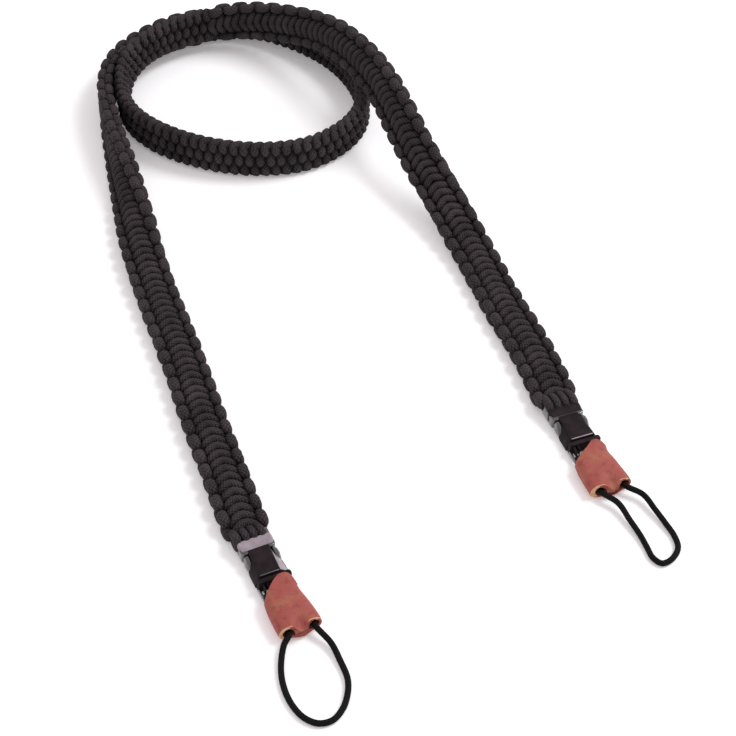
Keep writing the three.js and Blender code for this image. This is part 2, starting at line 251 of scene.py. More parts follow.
def smooth_line(points, step):
    """Centripetal curve through the points, resampled evenly at about the step.

    Further columns ride along.
    """
    p = np.asarray(points, float)
    p = np.vstack([2 * p[0] - p[1], p, 2 * p[-1] - p[-2]])
    gap = np.maximum(np.linalg.norm(np.diff(p[:, :3], axis=0), axis=1), 1e-6) ** 0.5
    t = np.concatenate([[0.0], np.cumsum(gap)])
    pieces = []
    for i in range(1, len(p) - 2):
        t0, t1, t2, t3 = t[i - 1:i + 3]
        p0, p1, p2, p3 = p[i - 1:i + 3]
        count = max(3, int(np.linalg.norm(p2[:3] - p1[:3]) / step * 1.3) + 2)
        u = np.linspace(t1, t2, count, endpoint=False)[:, None]
        a1 = between(u, t0, t1, p0, p1)
        a2 = between(u, t1, t2, p1, p2)
        a3 = between(u, t2, t3, p2, p3)
        b1 = between(u, t0, t2, a1, a2)
        b2 = between(u, t1, t3, a2, a3)
        pieces.append(between(u, t1, t2, b1, b2))
    line = np.vstack(pieces + [p[-2:-1]])
    s = np.concatenate([[0.0], np.cumsum(np.linalg.norm(np.diff(line[:, :3], axis=0), axis=1))])
    even = np.linspace(0.0, s[-1], max(4, int(round(s[-1] / step)) + 1))
    return np.stack([np.interp(even, s, line[:, k]) for k in range(p.shape[1])], 1)


def make_object(name, verts, faces, material, uvs=None):
    mesh = bpy.data.meshes.new(name)
    mesh.from_pydata([tuple(v) for v in verts], [], faces)
    if uvs is not None:
        layer = mesh.uv_layers.new(name="UVMap")
        layer.data.foreach_set("uv", np.asarray(uvs, np.float32).ravel())
    mesh.materials.append(material)
    mesh.polygons.foreach_set("use_smooth", [True] * len(mesh.polygons))
    mesh.update()
    obj = bpy.data.objects.new(name, mesh)
    bpy.context.scene.collection.objects.link(obj)
    return obj


def tube_parts(line, radius, sides=12, first=0):
    """Points, faces and UVs of a round cord along a line (mm). U runs round it, V is the length in mm.

    A fourth column in the line is the cord's radius there, and takes the place of the one given.
    """
    line = np.asarray(line, float)
    if line.shape[1] > 3:
        line, radius = line[:, :3], line[:, 3]
    n = len(line)
    along = unit(np.gradient(line, axis=0))
    normal = np.zeros((n, 3))
    guess = np.array([0.0, 0.0, 1.0]) if abs(along[0][2]) < 0.8 else np.array([1.0, 0.0, 0.0])
    normal[0] = unit(guess - along[0] * guess.dot(along[0]))
    for i in range(1, n):
        v = normal[i - 1] - along[i] * normal[i - 1].dot(along[i])
        normal[i] = v / np.linalg.norm(v)
    other = np.cross(along, normal)
    size = np.broadcast_to(np.asarray(radius, float), (n,))
    turn = 2.0 * np.pi * np.arange(sides) / sides
    ring = (line[:, None, :]
            + size[:, None, None] * (np.cos(turn)[None, :, None] * normal[:, None, :]
                                     + np.sin(turn)[None, :, None] * other[:, None, :]))
    verts = ring.reshape(-1, 3)
    length = np.concatenate([[0.0], np.cumsum(np.linalg.norm(np.diff(line, axis=0), axis=1))])
    faces, uvs = [], []
    for i in range(n - 1):
        for k in range(sides):
            m = (k + 1) % sides
            faces.append((first + i * sides + k, first + (i + 1) * sides + k,
                          first + (i + 1) * sides + m, first + i * sides + m))
            u0, u1 = k / sides, (k + 1) / sides
            uvs += [(u0, length[i]), (u0, length[i + 1]), (u1, length[i + 1]), (u1, length[i])]
    # Each end closes in a low cone.
    for i, sign in ((0, -1.0), (n - 1, 1.0)):
        tip = first + len(verts)
        verts = np.vstack([verts, line[i] + sign * along[i] * size[i] * 0.35])
        for k in range(sides):
            m = (k + 1) % sides
            a, b = first + i * sides + k, first + i * sides + m
            faces.append((a, b, tip) if sign < 0 else (b, a, tip))
            uvs += [(u / sides, length[i]) for u in (k, k + 1, k + 0.5)]
    return verts, faces, uvs


def cord_object(name, lines, material, sides, radius=None):
    """One object of round cords. Lines with a fourth column carry their own radius."""
    verts, faces, uvs = [], [], []
    count = 0
    for line in lines:
        v, f, t = tube_parts(line, radius, sides, first=count)
        verts.append(v)
        faces += f
        uvs += t
        count += len(v)
    return make_object(name, np.vstack(verts) * MM, faces, material, uvs)


def knot_cords(start, end, first_turn, bow):
    """Two working cords of a flat knotted strand, as lines on the band (along, across, off the face, radius).

    Each cord arches over its own side at every half knot, dips round the edge and stands there as a
    rounded lump on the other side. The two are mirror images, so front and back look alike.
    The arches bow towards the side that bow points to.
    """
    count = int(round((end - start) / KNOT_SPACING))
    h = (end - start) / count
    rng = np.random.default_rng(int(start) + 7)
    cords = []
    for side in (1.0, -1.0):
        line = []
        for i in range(count):
            s = start + (i + 0.5) * h
            d = side if (i + first_turn) % 2 == 0 else -side
            sway_in, sway_out, swell = rng.normal(0.0, 0.15, 3)
            line += [(s + ahead, across * d, off * side, radius) for ahead, across, off, radius in (
                (-0.60 * bow, -5.2, 0.1, 1.65),
                (-0.20 * bow + sway_in, -3.6, 1.5, 2.12),
                (0.55 * bow + sway_in, -0.2, 1.95 + 0.3 * swell, 2.24),
                (-0.20 * bow + sway_out, 3.6, 1.5, 2.12),
                (-0.60 * bow, 5.2, 0.1, 1.65),
                (-0.55, 6.3, -0.1, 1.7),
                (-0.7, 7.1, -0.5, 1.9),
                (-0.1, 7.4, -1.5, 2.32),
                (h / 2, 7.55 + swell, -1.95 + 0.5 * sway_in, 2.38),
                (h + 0.1, 7.4, -1.5, 2.32),
                (h + 0.6, 6.9, -0.5, 1.8),
                (h + 0.1, 6.0, 0.2, 1.65),
            )]
        cords.append(np.array(line))
    return cords


def straight_core(start, end, places, step=4.0):
    s = np.linspace(start, end, max(3, int((end - start) / step)))
    return [on_band(np.stack([s, np.full_like(s, v), np.zeros_like(s)], 1)) for v in places]


def weave_cord(start, end):
    """The neck's single weaving cord: over and under three straight ones, turning back at each edge."""
    count = int(round((end - start) / WEAVE_SPACING))
    h = (end - start) / count
    rng = np.random.default_rng(21)
    line = []
    for i in range(count):
        s = start + (i + 0.5) * h
        d = 1.0 if i % 2 == 0 else -1.0
        near, middle, far = rng.normal(0.0, 0.13, 3)
        line += [(s + ahead, across * d, off * d, radius) for ahead, across, off, radius in (
            (0.45, -7.75, 0.85, 2.05),
            (near - 0.1, -6.0, 1.6, 2.38),
            (near, -3.3, 0.1, 1.95),
            (middle, 0.0, -1.65 + 0.4 * far, 2.38),
            (far, 3.3, 0.1, 1.95),
            (far + 0.1, 6.0, 1.6, 2.38),
            (-0.45, 7.75, 0.85, 2.05),
        )]
        line.append((s + h * 0.5, 8.0 * d, 0.0, 2.0))
    return np.array(line)


def hitch_cords(end):
    """Straight cords from under the last knot over the buckle's bar and down through its slot."""
    start, reach, rise = (end["hitch"][k] for k in ("start", "reach", "rise"))
    rng = np.random.default_rng(5)
    lines = []
    for v in end["hitch"]["across"]:
        a, b = rng.normal(0.0, 0.2, 2)
        points = [
            (start - 3.0, v * 0.92, rise - 3.4),
            (start - 0.6, v * 0.96, rise - 1.4),
            (start + 1.8, v, rise - 0.3 + 0.3 * b),
            (0.5 * (start + reach) + 0.8 + a, v, rise),
            (reach - 1.7, v, rise - 0.25),
            (reach - 0.35 + 0.3 * b, v, rise - 1.5),
            (reach - 0.3, v, rise - 3.3),
            (reach - 1.6, v * 0.97, 2.4),
            (reach - 4.0, v * 0.95, 2.1),
            (start - 2.0, v * 0.9, 2.6),
        ]
        line = smooth_line([end_place(end, *p) for p in points], 0.6)
        lines.append(np.hstack([line, np.full((len(line), 1), 1.92)]))
    return lines


def end_place(end, s, v, z):
    """A place in an end's own frame (along the buckle, across it, up) carried to the strap, in mm."""
    turn = math.radians(end["heading"])
    return (end["x"] + s * math.cos(turn) - v * math.sin(turn),
            end["y"] + s * math.sin(turn) + v * math.cos(turn), z)


def mirrored(half):
    """An outline given along its -v side, closed with its mirror image."""
    return list(half) + [(s, -v) for s, v in reversed(half)]


def plate(outline, low, high, bevel, segments=3):
    """A flat moulded plate with rounded edges, from its outline (s, v) and the heights of its two faces."""
    bm = bmesh.new()
    bottom = [bm.verts.new((a, b, low)) for a, b in outline]
    top = [bm.verts.new((a, b, high)) for a, b in outline]
    n = len(outline)
    bm.faces.new(bottom[::-1])
    bm.faces.new(top)
    for k in range(n):
        m = (k + 1) % n
        bm.faces.new((bottom[k], bottom[m], top[m], top[k]))
    bmesh.ops.recalc_face_normals(bm, faces=bm.faces)
    if bevel > 0:
        bmesh.ops.bevel(bm, geom=list(bm.edges), offset=bevel, segments=segments, profile=0.5, affect="EDGES")
    return bm


def solid_tube(along, v, z, radius, sides):
    """A round rod along s, from along[0] to along[1]."""
    line = np.stack([np.linspace(along[0], along[1], 6), np.full(6, v), np.full(6, z)], 1)
    verts, faces, _ = tube_parts(line, radius, sides)
    bm = bmesh.new()
    made = [bm.verts.new(tuple(p)) for p in verts]
    for f in faces:
        bm.faces.new([made[k] for k in f])
    bmesh.ops.recalc_face_normals(bm, faces=bm.faces)
    return bm


def moulded_piece(name, end, parts, materials):
    """Joins shapes into one object, laid at the end's place.

    Each part is (bmesh, material index). A face that has an index of its own above 0 keeps it.
    """
    verts, faces, index = [], [], []
    for bm, slot in parts:
        bm.verts.ensure_lookup_table()
        base = len(verts)
        verts += [tuple(v.co) for v in bm.verts]
        for f in bm.faces:
            faces.append(tuple(base + v.index for v in f.verts))
            index.append(f.material_index or slot)
        bm.free()
    laid = [tuple(c * MM for c in end_place(end, *v)) for v in verts]
    obj = make_object(name, laid, faces, materials[0])
    for extra in materials[1:]:
        obj.data.materials.append(extra)
    obj.data.polygons.foreach_set("material_index", index)
    obj.data.set_sharp_from_angle(angle=math.radians(32.0))
    return obj


def skin(rings):
    """A closed form over cross-sections, each a list of (s, v, z) points with the same count."""
    bm = bmesh.new()
    made = [[bm.verts.new(p) for p in ring] for ring in rings]
    n = len(made[0])
    for a, b in zip(made, made[1:]):
        for k in range(n):
            m = (k + 1) % n
            bm.faces.new((a[k], b[k], b[m], a[m]))
    bm.faces.new(made[0])
    bm.faces.new(made[-1][::-1])
    bmesh.ops.recalc_face_normals(bm, faces=bm.faces)
    return bm


def lofted(sections):
    """A closed form through upright cross-sections, each (s, [(v, z), ...]) with the same count of corners."""
    return skin([[(s, v, z) for v, z in ring] for s, ring in sections])


# The socket along its length. An inset draws both sides in. flat is half the width of the top's flat face,
# and flank half its width lower down.
SHOULDER_ROWS = [
    dict(s=-0.8, inset=0.5, height=6.6),
    dict(s=-0.4, inset=0.1, height=7.1),
    dict(s=0.6, inset=0.0, height=7.25),
    dict(s=2.2, inset=0.0, height=6.95),
    dict(s=4.0, inset=0.1, height=6.35),
    dict(s=4.7, inset=0.5, height=6.0),
]
TOP_ROWS = [
    dict(s=TOP_START, flat=4.4, flank=4.7, height=6.35),
    dict(s=6.2, flat=4.4, flank=4.6, height=6.6),
    dict(s=7.6, flat=4.5, flank=4.9, height=6.75),
    dict(s=9.2, flat=4.6, flank=6.0, height=6.85),
    dict(s=10.6, flat=4.7, flank=6.9, height=6.9),
    dict(s=12.5, flat=4.85, flank=7.3, height=6.95),
    dict(s=15.0, flat=5.1, flank=7.4, height=7.0),
    dict(s=18.4, flat=5.4, flank=7.45, height=7.05),
    dict(s=TOP_END, flat=5.45, flank=7.45, height=7.05),
]
LIP_ROWS = [
    dict(s=19.0, inset=0.2),
    dict(s=19.15, inset=0.0),
    dict(s=19.5, inset=0.0),
    dict(s=19.7, inset=0.25),
]

# Places in a buckle's list of materials.
GLOSSY, GRAINED, SHOULDER, RIM = range(4)


def shoulder_section(s, inset, height):
    side = BUCKLE_HALF - inset
    return s, [(-side, 2.0), (-side, height - 0.9), (-side + 0.7, height),
               (side - 0.7, height), (side, height - 0.9), (side, 2.0)]


def top_section(s, flat, flank, height, skew):
    drawn = skew * (s - TOP_START) / (TOP_END - TOP_START)
    slope = 0.25 * (flank - flat)
    return s, [(-flank, 0.9), (-flank, 2.9), (-flank + slope, 3.9), (-flat - 0.35, height - 0.35),
               (-flat + 0.1, height), (0.0, height + 0.04), (flat - 0.1 - drawn, height),
               (flat + 0.35 - drawn, height - 0.35), (flank - slope, 3.9), (flank, 2.9), (flank, 0.9)]


def lip_section(s, inset, skew):
    return s, [(-7.4 + inset, 1.0), (-7.4 + inset, 3.0), (-5.55 + inset, 6.9 - inset), (-5.2, 7.15 - inset),
               (5.2 - skew, 7.15 - inset), (5.55 - skew - inset, 6.9 - inset),
               (7.4 - inset, 3.0), (7.4 - inset, 1.0)]


def buckle_socket(name, end, materials):
    """Receiving half: the cords' bar, a shoulder, then a grained top whose flanks flare to the mouth's lip."""
    half = BUCKLE_HALF
    skew = end["skew"]
    bar_frame = plate(mirrored([(BAR_START, -half + 1.5), (BAR_START + 1.2, -half), (4.6, -half),
                                (5.4, -half + 0.5), (5.9, -half + 2.0)]), 0.9, 6.2, 0.45)
    slot = plate([(BAR_START + 2.4, -half + 2.2), (BAR_START + 4.6, -half + 2.2),
                  (BAR_START + 4.6, half - 2.2), (BAR_START + 2.4, half - 2.2)], -2.0, 9.0, 0.0)
    bar_frame = cut_away(bar_frame, [slot])
    # The shoulder takes the third material, which on the left buckle is the pale painted highlight.
    shoulder = lofted([shoulder_section(**row) for row in SHOULDER_ROWS])
    body = lofted([top_section(skew=skew, **row) for row in TOP_ROWS])
    # The upper flank on the +v side takes the shoulder's material, which on the left buckle is the pale
    # painted highlight.
    for face in body.faces:
        s, v, z = face.calc_center_median()
        if v > 2.5 and s > 7.0 and 4.2 < z < 6.6:
            face.material_index = SHOULDER
    lip = lofted([lip_section(skew=skew, **row) for row in LIP_ROWS])
    # The rim along the mouth takes the fourth material, which on the right buckle is the pale painted
    # highlight.
    rim = plate([(19.0, -5.2), (19.55, -5.2), (19.55, 5.2 - skew), (19.0, 5.2 - skew)],
                6.6, 7.2, 0.15, segments=2)
    parts = [(bar_frame, GLOSSY), (shoulder, SHOULDER), (body, GRAINED), (lip, GRAINED), (rim, RIM)]
    return moulded_piece(name, end, parts, materials)


PRONG_ROWS = [
    dict(s=5.9, inner=5.6, outer=6.3, low=2.2, high=5.0),
    dict(s=6.3, inner=5.2, outer=7.0, low=2.0, high=5.6),
    dict(s=7.5, inner=5.1, outer=7.45, low=1.9, high=6.0),
    dict(s=9.5, inner=5.2, outer=7.5, low=1.9, high=5.9),
    dict(s=11.5, inner=5.4, outer=7.2, low=1.9, high=4.4),
    dict(s=13.0, inner=5.6, outer=6.8, low=1.9, high=3.4),
]


def prong_section(s, inner, outer, low, high, flank):
    return s, [(flank * v, z) for v, z in (
        (inner, low), (inner, high - 0.5), (inner + 0.3, high),
        (outer - 0.6, high - 0.2), (outer, high - 1.2), (outer, low))]


def side_block(start, stop, inner, outer, flank, low, high, bevel, segments=3):
    """A box from start to stop along the buckle, between inner and outer on one flank (-1 or 1)."""
    outline = [(start, flank * inner), (start, flank * outer), (stop, flank * outer), (stop, flank * inner)]
    return plate(outline if flank > 0 else outline[::-1], low, high, bevel, segments)


def buckle_plug(name, end, materials):
    """Pronged half: a crossbar at the mouth, low rails and ribs towards the leather, and two prongs."""
    half = BUCKLE_HALF
    crossbar = mirrored([(MOUTH, -half + 0.9), (MOUTH + 0.7, -half + 0.25), (MOUTH + 2.4, -half + 0.25)])
    collar = mirrored([(MOUTH + 0.2, -half + 0.2), (MOUTH + 2.6, -half)])
    back_bar = mirrored([(MOUTH + 7.4, -half + 0.1), (MOUTH + 8.5, -half + 1.0)])
    parts = [(plate(crossbar, 1.6, 6.5, 0.4), GRAINED),
             (plate(collar, 1.2, 3.4, 0.3), GRAINED),
             (plate(back_bar, 1.4, 5.8, 0.4), GRAINED)]
    for flank in (-1.0, 1.0):
        rail = side_block(MOUTH + 1.8, MOUTH + 8.2, half - 0.9, half, flank, 1.2, 3.3, 0.3)
        parts.append((rail, GLOSSY))
        for inner, outer, reach in ((5.1, 5.7, 5.6), (3.4, 4.0, 4.6)):
            rib = side_block(MOUTH + 2.0, MOUTH + reach, inner, outer, flank, 2.0, 5.6, 0.2, segments=2)
            parts.append((rib, GRAINED))
        parts.append((lofted([prong_section(flank=flank, **row) for row in PRONG_ROWS]), GLOSSY))
    return moulded_piece(name, end, parts, materials)


def cut_away(bm, cutters):
    """The shape with the cutters taken out, made with Blender's exact boolean."""
    def as_object(shape):
        mesh = bpy.data.meshes.new("cutting")
        shape.to_mesh(mesh)
        obj = bpy.data.objects.new("cutting", mesh)
        bpy.context.scene.collection.objects.link(obj)
        return obj
    body = as_object(bm)
    tools = [as_object(c) for c in cutters]
    for tool in tools:
        step = body.modifiers.new("cut", "BOOLEAN")
        step.operation = "DIFFERENCE"
        step.solver = "EXACT"
        step.object = tool
    done = bmesh.new()
    done.from_mesh(body.evaluated_get(bpy.context.evaluated_depsgraph_get()).to_mesh())
    for obj in [body] + tools:
        mesh = obj.data
        bpy.data.objects.remove(obj)
        bpy.data.meshes.remove(mesh)
    bm.free()
    for c in cutters:
        c.free()
    return done


# The leather tab along its length: where its -v and +v sides lie, its top and bottom, how far the middle is
# pinched in, and how round its sides are. The tongue's rows count from its tip.
TONGUE_ROWS = [
    dict(s=0.0, left=1.6, right=3.6, top=8.35, bottom=7.3, pinch=0.0, side=0.3),
    dict(s=0.3, left=0.7, right=4.5, top=8.65, bottom=7.1, pinch=0.0, side=0.5),
    dict(s=1.1, left=-1.3, right=5.5, top=8.75, bottom=7.05, pinch=0.0, side=0.7),
    dict(s=2.4, left=-3.1, right=6.1, top=8.8, bottom=7.05, pinch=0.0, side=0.8),
    dict(s=4.0, left=-4.6, right=6.3, top=8.8, bottom=7.05, pinch=0.0, side=0.85),
]
SLEEVE_ROWS = [
    dict(s=28.4, left=-6.7, right=6.4, top=8.8, bottom=6.6, pinch=0.0, side=1.1),
    dict(s=29.0, left=-7.2, right=6.5, top=8.8, bottom=5.0, pinch=0.0, side=1.8),
    dict(s=29.7, left=-7.8, right=6.6, top=8.75, bottom=2.8, pinch=0.0, side=2.8),
    dict(s=31.0, left=-8.4, right=6.8, top=8.7, bottom=1.2, pinch=0.0, side=3.5),
    dict(s=33.0, left=-8.7, right=7.3, top=8.6, bottom=0.5, pinch=0.0, side=3.9),
    dict(s=36.0, left=-9.0, right=7.9, top=8.4, bottom=0.4, pinch=0.0, side=4.1),
    dict(s=39.0, left=-9.15, right=8.3, top=8.2, bottom=0.35, pinch=0.05, side=4.2),
    dict(s=42.0, left=-9.2, right=8.7, top=8.1, bottom=0.3, pinch=0.25, side=4.2),
    dict(s=44.5, left=-9.2, right=8.95, top=8.0, bottom=0.25, pinch=0.9, side=4.1),
    dict(s=46.3, left=-9.15, right=9.05, top=8.0, bottom=0.25, pinch=1.9, side=4.0),
    dict(s=47.7, left=-9.05, right=8.95, top=7.95, bottom=0.35, pinch=2.9, side=3.8),
    dict(s=48.0, left=-8.8, right=8.8, top=7.7, bottom=0.6, pinch=3.0, side=3.6),
]


def leather_profile(end):
    """The tab's row values at closely spaced stations, with its sides smoothed and fitted to this end."""
    tip = end["tongue_tip"]
    rows = [dict(r, s=r["s"] + tip) for r in TONGUE_ROWS] + SLEEVE_ROWS
    knots = np.array([r["s"] for r in rows])
    stations = np.unique(np.round(np.concatenate([knots, np.arange(26.0, 47.0, 0.8)]), 3))
    read = {k: np.interp(stations, knots, [r[k] for r in rows]) for k in rows[0]}
    read["s"] = stations
    softened = np.clip(stations - tip - 1.0, 0.0, 1.0) * np.clip(47.0 - stations, 0.0, 1.0)
    for k in ("left", "right"):
        values = [r[k] for r in rows]
        near = [np.interp(stations + shift, knots, values) for shift in (-1.0, -0.5, 0.5, 1.0)]
        read[k] += softened * (np.mean(near, axis=0) - read[k])
    past_tip = np.clip(stations - tip, 0.0, 1.0)
    before_sleeve = np.clip((31.5 - stations) / 3.5, 0.0, 1.0)
    read["left"] += end["slant"] * past_tip * before_sleeve
    read["left"] -= end["spread"] * np.clip((stations - 29.0) / 2.0, 0.0, 1.0)
    return [{k: read[k][i] for k in read} for i in range(len(stations))]


def leather_ring(row, lean):
    """One closed cross-section of the tab: the face, the +v side, the underside and the -v side."""
    s, left, right, low, pinch = (row[k] for k in ("s", "left", "right", "bottom", "pinch"))
    edge = min(row["side"], (right - left) * 0.3)
    face = np.linspace(left + edge, right - edge, LEATHER_FACE_POINTS)
    fold = np.exp(-(face / 2.7) ** 2)
    sag = 0.12 * math.sin(0.55 * s + lean[0]) * np.sin(0.6 * face + lean[1]) - 0.014 * face ** 2
    height = row["top"] - pinch * fold + sag * (1.0 - fold)
    ring = list(zip(face, height))
    half = (height[-1] - low) / 2.0
    for t in np.linspace(0.0, math.pi, LEATHER_SIDE_POINTS + 2)[1:-1]:
        ring.append((right - edge + edge * math.sin(t), low + half + half * math.cos(t)))
    ring += [(v, low + 0.3 * pinch * f) for v, f in zip(face[::-1], fold[::-1])]
    half = (height[0] - low) / 2.0
    for t in np.linspace(math.pi, 2.0 * math.pi, LEATHER_SIDE_POINTS + 2)[1:-1]:
        ring.append((left + edge + edge * math.sin(t), low + half + half * math.cos(t)))
    # The last stations reach out in a rounded lip between the tunnels.
    lip = 2.0 * max(0.0, (s - 46.3) / 1.7)
    return [(s + lip * max(0.0, 1.0 - (v / 3.6) ** 2), v, z) for v, z in ring]


def mark_raw_edge(obj, end):
    """Gives the cut end of the sheet, round the tunnels, the second material."""
    origin = np.array(end_place(end, 0.0, 0.0, 0.0))
    turn = math.radians(end["heading"])
    along = np.array([math.cos(turn), math.sin(turn), 0.0])
    aside = np.array([-math.sin(turn), math.cos(turn), 0.0])
    index = []
    for face in obj.data.polygons:
        c = np.array(face.center) / MM - origin
        index.append(1 if c @ along > LEATHER_END - 0.2 and abs(c @ aside) > 3.3 else 0)
    obj.data.polygons.foreach_set("material_index", index)


def leather_tab(name, end, materials):
    """Folded leather: a tongue over the plug that runs on as a sleeve, pinched between two tunnels."""
    lean = np.random.default_rng(int(end["tongue_tip"])).normal(0.0, 1.0, 4)
    tab = skin([leather_ring(row, lean) for row in leather_profile(end)])
    tunnels = [solid_tube((LEATHER_END - 10.0, LEATHER_END + 3.0), v, TUNNEL_LIFT, TUNNEL_RADIUS, 28)
               for v in (-TUNNEL_OFFSET, TUNNEL_OFFSET)]
    gap = plate([(41.0, -4.6), (LEATHER_END + 2.0, -4.6), (LEATHER_END + 2.0, 4.6), (41.0, 4.6)],
                2.5, 3.1, 0.0)
    obj = moulded_piece(name, end, [(cut_away(tab, tunnels + [gap]), 0)], materials)
    mark_raw_edge(obj, end)
    return obj


def new_group(name, inputs, outputs):
    group = bpy.data.node_groups.new(name, "ShaderNodeTree")
    for label, kind, value in inputs:
        sock = group.interface.new_socket(name=label, in_out="INPUT", socket_type=kind)
        if value is not None:
            sock.default_value = value
    for label, kind in outputs:
        group.interface.new_socket(name=label, in_out="OUTPUT", socket_type=kind)
    start = group.nodes.new("NodeGroupInput")
    finish = group.nodes.new("NodeGroupOutput")
    return group, start, finish


def math_node(tree, operation, a, b=None, clamp=False):
    node = tree.nodes.new("ShaderNodeMath")
    node.operation = operation
    node.use_clamp = clamp
    for k, value in enumerate((a, b)):
        if value is None:
            continue
        if isinstance(value, (int, float)):
            node.inputs[k].default_value = value
        else:
            tree.links.new(value, node.inputs[k])
    return node.outputs[0]


def noise_node(tree, scale, detail, roughness=0.5):
    """Soft noise over the object's own space."""
    coord = tree.nodes.new("ShaderNodeTexCoord")
    noise = tree.nodes.new("ShaderNodeTexNoise")
    noise.inputs["Scale"].default_value = scale
    noise.inputs["Detail"].default_value = detail
    noise.inputs["Roughness"].default_value = roughness
    tree.links.new(coord.outputs["Object"], noise.inputs["Vector"])
    return noise.outputs[0]


def sheath_braid_group():
    """Braided sheath of a cord: diagonal strands that pass over and under each other.

    It reads the UV map, with U once round the cord and V along it in mm.
    """
    group, start, finish = new_group(
        "sheath_braid",
        [("Strands round", "NodeSocketFloat", 16.0), ("Strand length", "NodeSocketFloat", 1.5),
         ("Fuzz", "NodeSocketFloat", 0.3)],
        [("Height", "NodeSocketFloat"), ("Gaps", "NodeSocketFloat")])
    uv = group.nodes.new("ShaderNodeUVMap")
    uv.uv_map = "UVMap"
    split = group.nodes.new("ShaderNodeSeparateXYZ")
    group.links.new(uv.outputs[0], split.inputs[0])
    half = math_node(group, "MULTIPLY", start.outputs["Strands round"], 0.5)
    p = math_node(group, "MULTIPLY", split.outputs[0], half)
    q = math_node(group, "DIVIDE", split.outputs[1], start.outputs["Strand length"])
    a = math_node(group, "ADD", p, q)
    b = math_node(group, "SUBTRACT", p, q)
    whole = math_node(group, "ADD", math_node(group, "FLOOR", a), math_node(group, "FLOOR", b))
    odd = math_node(group, "PINGPONG", whole, 1.0)
    ridge_a = math_node(group, "SINE", math_node(group, "MULTIPLY", math_node(group, "FRACT", a), math.pi))
    ridge_b = math_node(group, "SINE", math_node(group, "MULTIPLY", math_node(group, "FRACT", b), math.pi))
    mix = group.nodes.new("ShaderNodeMix")
    mix.data_type = "FLOAT"
    group.links.new(odd, mix.inputs["Factor"])
    group.links.new(ridge_a, mix.inputs["A"])
    group.links.new(ridge_b, mix.inputs["B"])
    fuzz = math_node(group, "MULTIPLY", noise_node(group, 2600.0, 2.0), start.outputs["Fuzz"])
    height = math_node(group, "ADD", mix.outputs[0], fuzz)
    gaps = math_node(group, "SUBTRACT", 1.0, mix.outputs[0], clamp=True)
    group.links.new(height, finish.inputs["Height"])
    group.links.new(gaps, finish.inputs["Gaps"])
    return group


def new_material(name):
    material = bpy.data.materials.new(name)
    material.use_nodes = True
    tree = material.node_tree
    return material, tree, tree.nodes["Principled BSDF"]


def place_group(tree, group, values):
    """The outputs of a node group placed in a material with its own values."""
    node = tree.nodes.new("ShaderNodeGroup")
    node.node_tree = group
    for label, value in values.items():
        node.inputs[label].default_value = value
    return node.outputs


def mixed_colour(tree, factor, low, high):
    """Low where the factor is 0 and high where it is 1. Each is an RGB colour or a socket."""
    mix = tree.nodes.new("ShaderNodeMix")
    mix.data_type = "RGBA"
    for label, colour in (("A", low), ("B", high)):
        if isinstance(colour, tuple):
            mix.inputs[label].default_value = (*colour, 1.0)
        else:
            tree.links.new(colour, mix.inputs[label])
    tree.links.new(factor, mix.inputs["Factor"])
    return mix.outputs["Result"]


def add_bump(tree, shader, height, strength, distance):
    bump = tree.nodes.new("ShaderNodeBump")
    bump.inputs["Strength"].default_value = strength
    bump.inputs["Distance"].default_value = distance
    tree.links.new(height, bump.inputs["Height"])
    tree.links.new(bump.outputs[0], shader.inputs["Normal"])


def braided_cord_material(name, braid, strands, length, dark, light, depth, sheen):
    """Matt braided cord, with painted shade in the gaps of its braid and in the hollows between cords."""
    material, tree, shader = new_material(name)
    sheath = place_group(tree, braid, {"Strands round": strands, "Strand length": length})
    # Painted shade: the base colour darkens in the gaps of the braid.
    gaps = math_node(tree, "MULTIPLY", sheath["Gaps"], 0.75)
    blotched_tone = math_node(tree, "ADD", noise_node(tree, 90.0, 3.0), 0.3)
    tone = math_node(tree, "SUBTRACT", blotched_tone, gaps, clamp=True)
    # Painted shade: ambient occlusion darkens the base colour in the hollows between cords.
    hollow_shade = tree.nodes.new("ShaderNodeAmbientOcclusion")
    hollow_shade.samples = 6
    hollow_shade.inputs["Distance"].default_value = 0.004
    tone = math_node(tree, "MULTIPLY", tone, math_node(tree, "POWER", hollow_shade.outputs["AO"], 1.3))
    tree.links.new(mixed_colour(tree, tone, dark, light), shader.inputs["Base Color"])
    add_bump(tree, shader, sheath["Height"], 0.7, depth)
    shader.inputs["Roughness"].default_value = 0.8
    shader.inputs["Sheen Weight"].default_value = sheen
    shader.inputs["Sheen Roughness"].default_value = 0.4
    shader.inputs["Sheen Tint"].default_value = (0.8, 0.75, 0.78, 1.0)
    shader.inputs["Specular IOR Level"].default_value = 0.12
    return material


def grain_group():
    """Fine moulded or leather grain: rounded cells with soft noise, from object space."""
    group, start, finish = new_group(
        "fine_grain",
        [("Cells", "NodeSocketFloat", 900.0), ("Spots", "NodeSocketFloat", 120.0),
         ("Softness", "NodeSocketFloat", 0.5)],
        [("Height", "NodeSocketFloat"), ("Blotches", "NodeSocketFloat")])
    coord = group.nodes.new("ShaderNodeTexCoord")
    cells = group.nodes.new("ShaderNodeTexVoronoi")
    cells.feature = "SMOOTH_F1"
    group.links.new(coord.outputs["Object"], cells.inputs["Vector"])
    group.links.new(start.outputs["Cells"], cells.inputs["Scale"])
    noise = group.nodes.new("ShaderNodeTexNoise")
    noise.inputs["Detail"].default_value = 4.0
    group.links.new(coord.outputs["Object"], noise.inputs["Vector"])
    group.links.new(start.outputs["Spots"], noise.inputs["Scale"])
    soft = math_node(group, "MULTIPLY", noise.outputs[0], start.outputs["Softness"])
    group.links.new(math_node(group, "ADD", cells.outputs["Distance"], soft), finish.inputs["Height"])
    group.links.new(noise.outputs[0], finish.inputs["Blotches"])
    return group


def stretched(tree, value, low, high):
    """The value stretched so that low becomes 0 and high becomes 1."""
    node = tree.nodes.new("ShaderNodeMapRange")
    node.clamp = True
    tree.links.new(value, node.inputs["Value"])
    node.inputs["From Min"].default_value = low
    node.inputs["From Max"].default_value = high
    return node.outputs["Result"]


